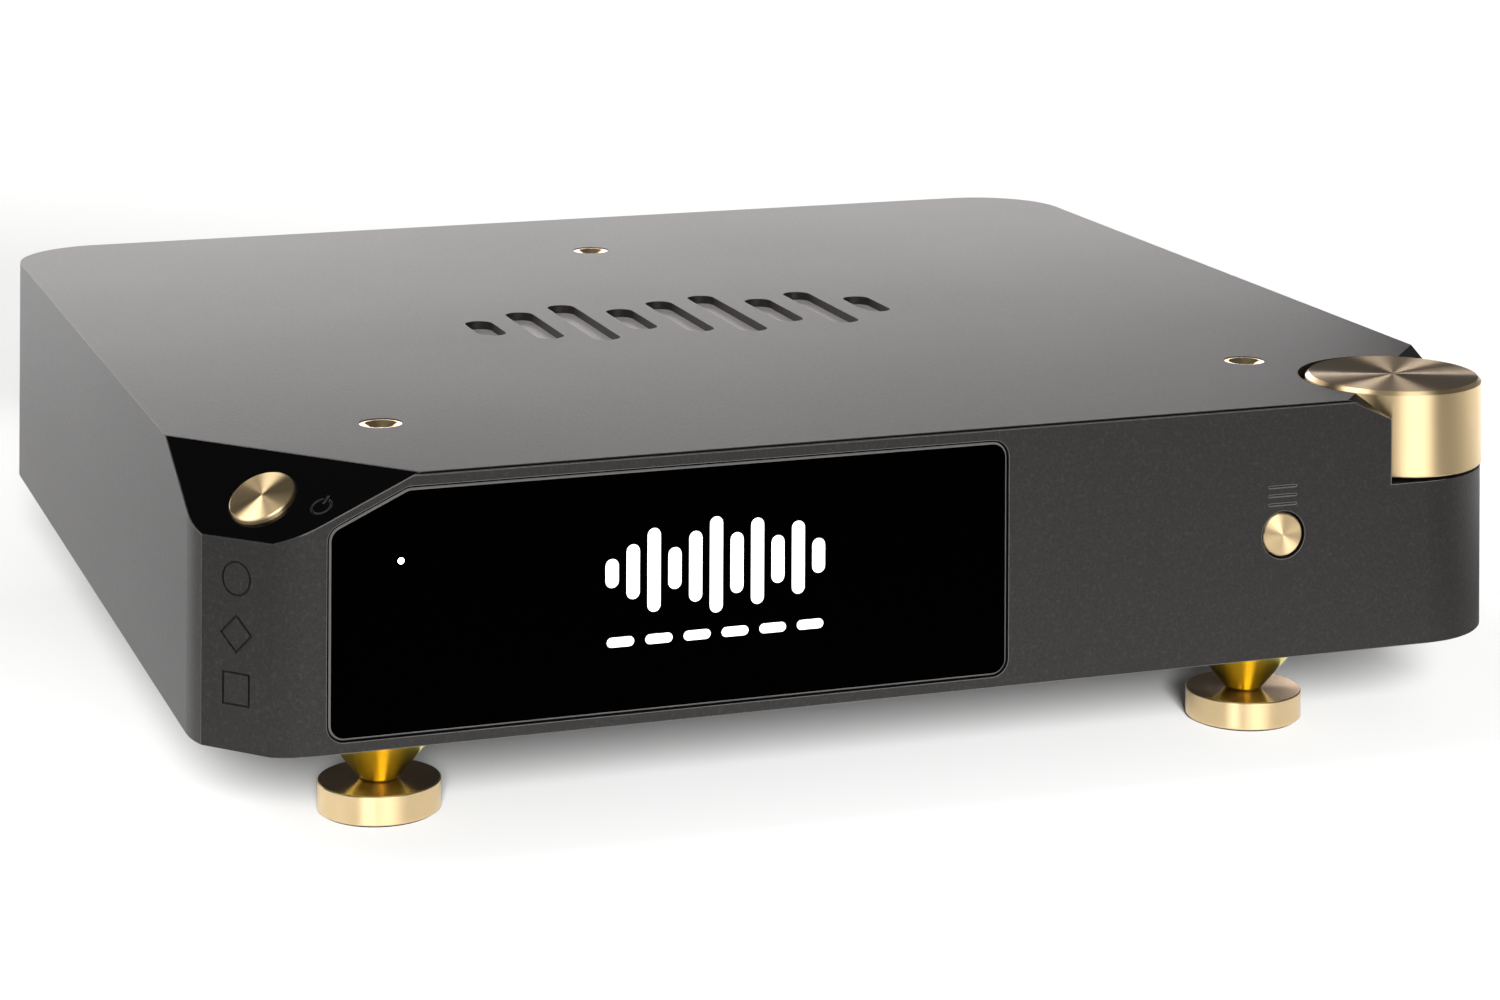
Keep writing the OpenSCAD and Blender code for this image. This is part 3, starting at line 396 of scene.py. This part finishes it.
GREY = (0.0128, 0.0112, 0.0106)
BRASS = (0.92, 0.705, 0.405)
mats = {
    "shell_aluminium": m_anodised("shell_aluminium", GREY, 0.46, 0.8, grain=0.6, recess=ZT - 0.0009),
    "front_aluminium": m_anodised("front_aluminium", GREY, 0.46, 1.0, grain=0.7, edge_r=0.00025, edge_highlight=0.85, deep_dark=True),
    "plate_aluminium": m_anodised("plate_aluminium", (0.022, 0.022, 0.023), 0.42, 0.4, facet_gloss=False),
    "bare_aluminium": m_brushed("bare_aluminium", (0.72, 0.72, 0.74), 0.35),
    "black_aluminium": m_simple("black_aluminium", (0.025, 0.025, 0.027), 0.4, 0.4),
    "gloss_black": m_gloss_black("gloss_black"),
    "display_glass": m_display("display_glass"),
    "gold_plate": m_simple("gold_plate", (0.92, 0.70, 0.33), 0.18, 1.0, 4000, 0.05, 0.12, 0.3, (1.0, 0.9, 0.65)),
    "felt_pad": m_felt("felt_pad"),
    "black_foam": m_simple("black_foam", (0.015, 0.015, 0.015), 0.9, 0, 1800, 0.8, 0.4, 0.1, spec=0.2),
    "black_plastic": m_simple("black_plastic", (0.016, 0.016, 0.017), 0.42, 0, 2400, 0.3, 0.3, 0.35, (0.10, 0.10, 0.10)),
    "white_plastic": m_simple("white_plastic", (0.78, 0.77, 0.72), 0.35, 0, 2400, 0.05, 0.06, 0.1, (0.9, 0.9, 0.86)),
    "cable_plastic": m_cable("cable_plastic"),
    "light_pipe": m_glow("light_pipe", (0.93, 0.97, 1.0), 6.0),
    "black_steel": m_simple("black_steel", (0.03, 0.03, 0.032), 0.32, 0.8, 3500, 0.1, 0.3, 0.6, (0.22, 0.22, 0.22)),
    "plated_steel": m_brushed("plated_steel", (0.66, 0.65, 0.63), 0.25),
    "socket_metal": m_simple("socket_metal", (0.045, 0.045, 0.048), 0.34, 0.6, 2600, 0.2, 0.3, 0.6, (0.25, 0.25, 0.25)),
    "circuit_board": m_pcb("circuit_board", (0.010, 0.075, 0.030)),
    "blue_board": m_pcb("blue_board", (0.010, 0.030, 0.130)),
    "transformer_tape": m_tape("transformer_tape", (0.50, 0.33, 0.05)),
    "capacitor_sleeve": m_simple("capacitor_sleeve", (0.02, 0.02, 0.035), 0.25, 0, 1500, 0.05, 0.15, 0.3, coat=0.5),
    "fuse_glass": m_simple("fuse_glass", (0.75, 0.77, 0.74), 0.08, 0, 900, 0.02, 0.1, 0.2, coat=0.6),
}
Z = (0, 0, 1)
turned = {
    "volume_knob": m_turned("turned_knob", (KC.x, KC.y, 0), Z, BRASS, 0.33, 1.0, depth=0.12, cone=-0.03, side_rough=0.36, painted_face_tone=(0.86, 0.69, 0.52)),
    "menu_button": m_turned("turned_menu", (MC.x, 0, MC.z), (0, 1, 0), BRASS, 0.33, 1.0, cone=0.06),
    "power_button": m_turned("turned_power", tuple(PC), tuple(FN), BRASS, 0.32, 1.0, cone=0.08),
    "foot_discs": m_turned("turned_disc", None, Z, BRASS, 0.22, 0.85, three=True, side_rough=0.36, painted_face_tone=(0.74, 0.50, 0.30)),
    "foot_spikes": m_turned("turned_spike", None, Z, (0.93, 0.80, 0.14), 0.20, 0.75, three=True),
    "top_screws": m_turned("turned_screw", None, Z, BRASS, 0.22, 0.6, three=True),
}
mats["brass"] = m_simple("brass", (0.80, 0.60, 0.33), 0.25, 1.0, 3000, 0.05, 0.15, 0.3)

for name, obj in N.items():
    m = turned.get(name) or mats[SLOT[name]]
    if not obj.data.materials:
        obj.data.materials.append(m)
    for s in obj.material_slots:
        s.material = m

# ---------------------------------------------------------------- display graphic: a plain level pattern, lit white
def bar_mesh(bm, x, z, w, h, y0, y1, n=8):
    """Upright bar with round ends, in the plane of the glass, as a closed thin solid."""
    r = min(w, h) / 2
    pts = []
    if h >= w:
        for i in range(n + 1):
            a = math.pi * i / n; pts.append((x + r * math.cos(a), z + h / 2 - r + r * math.sin(a)))
        for i in range(n + 1):
            a = math.pi + math.pi * i / n; pts.append((x + r * math.cos(a), z - h / 2 + r + r * math.sin(a)))
    else:
        for i in range(n + 1):
            a = -math.pi / 2 + math.pi * i / n; pts.append((x + w / 2 - r + r * math.cos(a), z + r * math.sin(a)))
        for i in range(n + 1):
            a = math.pi / 2 + math.pi * i / n; pts.append((x - w / 2 + r + r * math.cos(a), z + r * math.sin(a)))
    a = [bm.verts.new((px, y0, pz)) for px, pz in pts]
    b = [bm.verts.new((px, y1, pz)) for px, pz in pts]
    bm.faces.new(a)
    bm.faces.new(list(reversed(b)))
    for i in range(len(pts)):
        j = (i + 1) % len(pts)
        bm.faces.new((a[j], a[i], b[i], b[j]))


def piece(name, bm, mat, body):
    bmesh.ops.recalc_face_normals(bm, faces=bm.faces)
    me = bpy.data.meshes.new(name)
    bm.to_mesh(me); bm.free()
    me.materials.append(mat)
    o = bpy.data.objects.new(name, me)
    bpy.context.scene.collection.objects.link(o)
    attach(o, body)
    return o


gl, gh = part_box("display_glass")
bm = bmesh.new()
heights = [9, 17, 26, 13, 22, 30, 19, 27, 15, 23, 11]
for i, h in enumerate(heights):
    bar_mesh(bm, (-45.5 + (i - 5) * 4.9) * mm, ZB + 34.0 * mm, 3.1 * mm, h * 0.72 * mm, gl.y - 0.00004, gl.y - 0.00001)
for i in range(6):
    bar_mesh(bm, (-45.5 + (i - 2.5) * 9.0) * mm, ZB + 18.6 * mm, 6.4 * mm, 2.2 * mm, gl.y - 0.00004, gl.y - 0.00001)
piece("display_graphic", bm, m_glow("display_lit", (1.0, 1.0, 1.0), 1.25), "case")

# ---------------------------------------------------------------- floor, light, camera
# world panels: azimuth, elevation, inner and outer radius in degrees, level
PANELS = [(272, 44, 8, 24, 6.5), (225, 72, 15, 36, 0.3)]
STRIPS = [(178, 20, 2, 46, 4.9, 26.0)]
AMBIENT = 0.08
bm = bmesh.new()
bmesh.ops.create_grid(bm, x_segments=2, y_segments=2, size=6.0)
me = bpy.data.meshes.new("floor"); bm.to_mesh(me); bm.free()
floor = bpy.data.objects.new("floor", me)
floor.location = (0, 0, 0)
bpy.context.scene.collection.objects.link(floor)
t = NT("floor_paper")
t.set(Base_Color=t.mix(t.rng(t.noise(60, 3, 0.6), 0.3, 0.7, 0, 0.03), (0.395, 0.395, 0.395), (0.37, 0.37, 0.37)), Roughness=0.9, Specular_IOR_Level=0.1,
      Emission_Color=(1.0, 1.0, 1.0), Emission_Strength=0.025)
# painted shade: seen in reflections, the paper fades into a dark room away from the object, and a painted shadow
# darkens it beside the object's right side and behind its left side
lp = t.n("ShaderNodeLightPath")
px, py, pz = t.sep(t.P)
painted_floor_shade = t.math("MAXIMUM", t.rng(t.math("MULTIPLY", py, -1.0), 0.19, 0.75, 0.0, 0.9), t.math("MULTIPLY", t.rng(px, 0.18, 0.26, 0.0, 0.95), t.rng(px, 0.31, 0.40, 1.0, 0.0)))
painted_floor_shade = t.math("MAXIMUM", painted_floor_shade, t.math("MULTIPLY", t.rng(px, -0.30, -0.18, 1.0, 0.0), t.rng(py, 0.14, 0.42, 0.48, 0.0)))
painted_floor_shade = t.math("MULTIPLY", painted_floor_shade, t.math("SUBTRACT", 1.0, lp.outputs["Is Camera Ray"]))
# seen by the camera, a painted soft shadow makes the paper a touch greyer beside the object
haze = t.math("MULTIPLY", t.math("MULTIPLY", t.rng(py, -0.16, 0.10, 0, 1), t.rng(py, 0.6, 1.2, 1, 0)), t.rng(px, -0.12, 0.12, 0.30, 0.18))
painted_floor_shade = t.math("ADD", painted_floor_shade, t.math("MULTIPLY", haze, lp.outputs["Is Camera Ray"]))
# a near-black stand-in for the shaded paper
shade_bsdf = t.n("ShaderNodeBsdfDiffuse"); shade_bsdf.inputs[0].default_value = (0.02, 0.02, 0.02, 1)
mx = t.n("ShaderNodeMixShader"); t.put(mx.inputs[0], painted_floor_shade)
t.t.links.new(t.b.outputs[0], mx.inputs[1]); t.t.links.new(shade_bsdf.outputs[0], mx.inputs[2])
glow = t.n("ShaderNodeEmission")      # and brightens towards the lit wall behind
t.put(glow.inputs[1], t.math("MULTIPLY", t.math("ADD", t.rng(py, 0.30, 0.50, 0.0, 0.70), t.rng(px, 0.36, 0.46, 0.0, 0.45)), t.math("SUBTRACT", 1.0, lp.outputs["Is Camera Ray"])))
add = t.n("ShaderNodeAddShader")
t.t.links.new(mx.outputs[0], add.inputs[0]); t.t.links.new(glow.outputs[0], add.inputs[1]); t.t.links.new(add.outputs[0], t.out.inputs[0])
me.materials.append(t.m)

w = bpy.data.worlds.new("studio"); bpy.context.scene.world = w
w.use_nodes = True
wt = w.node_tree; wt.nodes.clear()
def wn(kind, **kw):
    nd = wt.nodes.new(kind)
    for k, v in kw.items(): setattr(nd, k, v)
    return nd
def wput(sock, v):
    if isinstance(v, bpy.types.NodeSocket): wt.links.new(v, sock)
    else: sock.default_value = v
def wmath(op, *a):
    nd = wn("ShaderNodeMath", operation=op)
    for s, v in zip(nd.inputs, a): wput(s, v)
    return nd.outputs[0]
wdir = wn("ShaderNodeTexCoord").outputs["Generated"]
def toward(az, el):
    """Unit vector: azimuth from +Y towards +X, elevation above the floor, in degrees."""
    a, e = math.radians(az), math.radians(el)
    return Vector((math.sin(a) * math.cos(e), math.cos(a) * math.cos(e), math.sin(e)))
def wpanel(az, el, r_in, r_out, level):
    """Soft round panel of light in the world."""
    nd = wn("ShaderNodeVectorMath", operation="DOT_PRODUCT")
    wt.links.new(wdir, nd.inputs[0]); nd.inputs[1].default_value = toward(az, el)
    mr = wn("ShaderNodeMapRange", interpolation_type="SMOOTHSTEP")
    wput(mr.inputs[0], nd.outputs["Value"])
    for i, v in zip((1, 2, 3, 4), (math.cos(math.radians(r_out)), math.cos(math.radians(r_in)), 0.0, level)): mr.inputs[i].default_value = v
    return mr.outputs[0]
def wstep(v, a, b):
    mr = wn("ShaderNodeMapRange", interpolation_type="SMOOTHSTEP")
    wput(mr.inputs[0], v)
    for i, q in zip((1, 2, 3, 4), (a, b, 0.0, 1.0)): mr.inputs[i].default_value = q
    return mr.outputs[0]
def wstrip(az, half, el0, el1, level, soft=4.0):
    """Upright strip of light: azimuth centre and half width, elevation range, in degrees."""
    sp = wn("ShaderNodeSeparateXYZ"); wt.links.new(wdir, sp.inputs[0])
    a = math.radians(az)
    side = wmath("SUBTRACT", wmath("MULTIPLY", sp.outputs[0], math.cos(a)), wmath("MULTIPLY", sp.outputs[1], math.sin(a)))
    ahead = wmath("ADD", wmath("MULTIPLY", sp.outputs[0], math.sin(a)), wmath("MULTIPLY", sp.outputs[1], math.cos(a)))
    d = wmath("MULTIPLY", wmath("ABSOLUTE", wmath("ARCTAN2", side, ahead)), 57.29578)
    e = wmath("MULTIPLY", wmath("ARCSINE", sp.outputs[2]), 57.29578)
    k = wmath("SUBTRACT", 1.0, wstep(d, half - soft / 2, half + soft / 2))
    k = wmath("MULTIPLY", k, wstep(e, el0 - soft, el0 + soft))
    k = wmath("MULTIPLY", k, wmath("SUBTRACT", 1.0, wstep(e, el1 - soft, el1 + soft)))
    return wmath("MULTIPLY", k, level)
total = AMBIENT
for spec in PANELS:
    total = wmath("ADD", wpanel(*spec), total)
for spec in STRIPS:
    total = wmath("ADD", wstrip(*spec), total)
cmb = wn("ShaderNodeCombineColor"); 
for s, k in zip(cmb.inputs, (1.0, 0.985, 0.965)): wput(s, wmath("MULTIPLY", total, k))
bg = wn("ShaderNodeBackground"); wt.links.new(cmb.outputs[0], bg.inputs[0]); bg.inputs[1].default_value = 1.0
wo = wn("ShaderNodeOutputWorld"); wt.links.new(bg.outputs[0], wo.inputs[0])


def area(name, loc, target, sx, sy, level, col=(1, 1, 1)):
    l = bpy.data.lights.new(name, "AREA")
    l.shape = "RECTANGLE"; l.size = sx; l.size_y = sy
    l.energy = level * math.pi * sx * sy; l.color = col
    o = bpy.data.objects.new(name, l)
    o.location = loc
    o.rotation_euler = (Vector(target) - Vector(loc)).to_track_quat("-Z", "Y").to_euler()
    o.visible_camera = False
    bpy.context.scene.collection.objects.link(o)
    return o


def sun(name, az, el, angle, level):
    """Soft light without a highlight, for the floor's shadows; level is what a white sheet facing it would show."""
    l = bpy.data.lights.new(name, "SUN")
    l.energy = level * math.pi; l.angle = math.radians(angle)
    o = bpy.data.objects.new(name, l)
    o.rotation_euler = (-toward(az, el)).to_track_quat("-Z", "Y").to_euler()
    o.visible_glossy = False
    bpy.context.scene.collection.objects.link(o)
    return o


lid_box = area("back_box", (-0.045, 0.36, 0.178), (-0.045, 0.0, 0.17), 0.91, 0.16, 3.0, (1.0, 0.968, 0.965))
lid_box.light_linking.receiver_collection = bpy.data.collections.new("lid_light_receivers")
for o in bpy.data.objects:
    if o.type == "MESH" and o is not N["volume_knob"]: lid_box.light_linking.receiver_collection.objects.link(o)
knob_box = area("knob_box", (-0.125, 0.36, 0.178), (-0.125, 0.0, 0.17), 0.75, 0.16, 5.2, (1.0, 0.968, 0.965))
knob_box.light_linking.receiver_collection = bpy.data.collections.new("knob_light_receivers")
knob_box.light_linking.receiver_collection.objects.link(N["volume_knob"])
rim_box = area("rim_box", (-0.56, -0.78, 0.24), (0.0, -0.12, 0.0), 0.34, 0.34, 7.0)
rim_box.light_linking.receiver_collection = bpy.data.collections.new("rim_light_receivers")
rim_box.light_linking.receiver_collection.objects.link(N["foot_discs"])
floor_only = bpy.data.collections.new("floor_light_receivers")
floor_only.objects.link(floor)
for args in (("high_sun", 275, 50, 40, 0.25), ("low_sun", 195, 21, 15, 5.8)):
    sun(*args).light_linking.receiver_collection = floor_only

cam_d = bpy.data.cameras.new("camera")
cam = bpy.data.objects.new("camera", cam_d)
bpy.context.scene.collection.objects.link(cam)
bpy.context.scene.camera = cam
yaw, roll = 0.3378, 0.0044
fwd = Vector((math.sin(yaw), math.cos(yaw), 0)); right = Vector((math.cos(yaw), -math.sin(yaw), 0)); up = Vector((0, 0, 1))
r2 = right * math.cos(roll) + up * math.sin(roll)
u2 = -right * math.sin(roll) + up * math.cos(roll)
loc = Vector((-0.31618, YF - 0.78628, ZB + 0.25384))
M = Matrix((r2, u2, -fwd)).transposed().to_4x4(); M.translation = loc
cam.matrix_world = M
cam_d.sensor_width = 36.0
cam_d.lens = 88.888
cam_d.clip_start, cam_d.clip_end = 0.01, 50
# The lens is shifted only while the camera stands at its own place, so that other views stay centred.
for path, val in (("shift_x", 0.0040), ("shift_y", -0.60975)):
    dr = cam_d.driver_add(path).driver
    dr.type = "SCRIPTED"
    v = dr.variables.new(); v.name = "x"; v.type = "TRANSFORMS"
    v.targets[0].id = cam; v.targets[0].transform_type = "LOC_X"; v.targets[0].transform_space = "WORLD_SPACE"
    dr.expression = "%g if abs(x - (%g)) < 0.001 else 0.0" % (val, loc.x)

sc = bpy.context.scene
sc.view_settings.view_transform = "Standard"
sc.view_settings.look = "None"
sc.view_settings.exposure = 0.0
